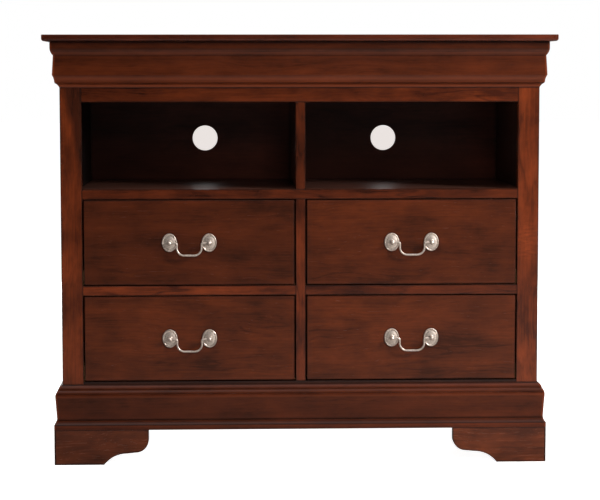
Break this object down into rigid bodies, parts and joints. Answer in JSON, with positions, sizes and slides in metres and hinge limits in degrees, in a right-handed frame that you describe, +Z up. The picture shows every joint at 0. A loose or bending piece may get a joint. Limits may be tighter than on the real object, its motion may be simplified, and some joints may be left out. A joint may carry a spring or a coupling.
{
  "type": "media chest",
  "caption": "Wooden media chest with a moulded cornice, open cubbies with round cable outlets, inset drawers with bail pulls, a moulded base and ogee bracket feet.",
  "frame": {"origin": "middle of the footprint on the floor, which is the bottom centre of the bounding box", "axes": "+Z up, -Y towards the front of the drawers, +X to the right as seen from the front"},
  "size_m": [1.016, 0.432, 0.855],
  "materials": {
    "stained_frame_wood": "satin lacquer over red-brown cherry stain",
    "stained_top": "satin lacquer over red-brown cherry stain",
    "stained_side_veneer": "satin lacquer over stained veneer",
    "stained_moulding": "satin lacquer with darker glaze in the grooves",
    "stained_foot_wood": "satin lacquer over red-brown cherry stain",
    "stained_drawer_front": "satin lacquer over stained veneer",
    "stained_cubby_lining": "glossier lacquer over dark stain",
    "stained_back_panel": "dark stained thin panel",
    "bare_panel": "unfinished panel",
    "runner_wood": "waxed hardwood",
    "drawer_box_wood": "clear lacquered hardwood",
    "drawer_bottom_ply": "clear lacquered plywood",
    "satin_nickel": "satin antique nickel"
  },
  "bodies": {
    "case": {"top_board": "stained_top", "cornice_front": "stained_moulding", "cornice_left": "stained_moulding", "cornice_right": "stained_moulding", "base_front": "stained_moulding", "base_left": "stained_moulding", "base_right": "stained_moulding", "left_stile": "stained_frame_wood", "right_stile": "stained_frame_wood", "left_mid_rail": "stained_frame_wood", "right_mid_rail": "stained_frame_wood", "top_rail": "stained_frame_wood", "shelf_rail": "stained_frame_wood", "bottom_rail": "stained_frame_wood", "left_side_panel": "stained_side_veneer", "right_side_panel": "stained_side_veneer", "shelf_board": "stained_cubby_lining", "bottom_panel": "bare_panel", "cubby_divider": "stained_frame_wood", "drawer_partition": "stained_frame_wood", "cubby_side_liners": "stained_cubby_lining", "back_panel": "stained_back_panel", "outer_drawer_runners": "runner_wood", "inner_drawer_runners": "runner_wood", "front_left_foot": "stained_foot_wood", "front_right_foot": "stained_foot_wood", "rear_right_foot": "stained_foot_wood", "rear_left_foot": "stained_foot_wood"},
    "lower_left_drawer": {"lower_left_drawer_front": "stained_drawer_front", "lower_left_drawer_left_side": "drawer_box_wood", "lower_left_drawer_right_side": "drawer_box_wood", "lower_left_drawer_back": "drawer_box_wood", "lower_left_drawer_bottom": "drawer_bottom_ply", "lower_left_drawer_rosettes": "satin_nickel", "lower_left_drawer_posts": "satin_nickel"},
    "lower_left_drawer_bail": {"lower_left_drawer_bail": "satin_nickel"},
    "lower_right_drawer": {"lower_right_drawer_front": "stained_drawer_front", "lower_right_drawer_left_side": "drawer_box_wood", "lower_right_drawer_right_side": "drawer_box_wood", "lower_right_drawer_back": "drawer_box_wood", "lower_right_drawer_bottom": "drawer_bottom_ply", "lower_right_drawer_rosettes": "satin_nickel", "lower_right_drawer_posts": "satin_nickel"},
    "lower_right_drawer_bail": {"lower_right_drawer_bail": "satin_nickel"},
    "upper_left_drawer": {"upper_left_drawer_front": "stained_drawer_front", "upper_left_drawer_left_side": "drawer_box_wood", "upper_left_drawer_right_side": "drawer_box_wood", "upper_left_drawer_back": "drawer_box_wood", "upper_left_drawer_bottom": "drawer_bottom_ply", "upper_left_drawer_rosettes": "satin_nickel", "upper_left_drawer_posts": "satin_nickel"},
    "upper_left_drawer_bail": {"upper_left_drawer_bail": "satin_nickel"},
    "upper_right_drawer": {"upper_right_drawer_front": "stained_drawer_front", "upper_right_drawer_left_side": "drawer_box_wood", "upper_right_drawer_right_side": "drawer_box_wood", "upper_right_drawer_back": "drawer_box_wood", "upper_right_drawer_bottom": "drawer_bottom_ply", "upper_right_drawer_rosettes": "satin_nickel", "upper_right_drawer_posts": "satin_nickel"},
    "upper_right_drawer_bail": {"upper_right_drawer_bail": "satin_nickel"}
  },
  "joints": [
    {"name": "lower_left_drawer_slide", "type": "slide", "parent": "case", "child": "lower_left_drawer", "axis": [0, -1, 0], "range_m": [0, 0.28]},
    {"name": "lower_left_drawer_bail_swing", "type": "hinge", "parent": "lower_left_drawer", "child": "lower_left_drawer_bail", "pos_m": [-0.22175, -0.2, 0.2515], "axis": [-1, 0, 0], "range_deg": [-25, 205]},
    {"name": "lower_right_drawer_slide", "type": "slide", "parent": "case", "child": "lower_right_drawer", "axis": [0, -1, 0], "range_m": [0, 0.28]},
    {"name": "lower_right_drawer_bail_swing", "type": "hinge", "parent": "lower_right_drawer", "child": "lower_right_drawer_bail", "pos_m": [0.22175, -0.2, 0.2515], "axis": [-1, 0, 0], "range_deg": [-25, 205]},
    {"name": "upper_left_drawer_slide", "type": "slide", "parent": "case", "child": "upper_left_drawer", "axis": [0, -1, 0], "range_m": [0, 0.28]},
    {"name": "upper_left_drawer_bail_swing", "type": "hinge", "parent": "upper_left_drawer", "child": "upper_left_drawer_bail", "pos_m": [-0.22175, -0.2, 0.4435], "axis": [-1, 0, 0], "range_deg": [-25, 205]},
    {"name": "upper_right_drawer_slide", "type": "slide", "parent": "case", "child": "upper_right_drawer", "axis": [0, -1, 0], "range_m": [0, 0.28]},
    {"name": "upper_right_drawer_bail_swing", "type": "hinge", "parent": "upper_right_drawer", "child": "upper_right_drawer_bail", "pos_m": [0.22175, -0.2, 0.4435], "axis": [-1, 0, 0], "range_deg": [-25, 205]}
  ]
}
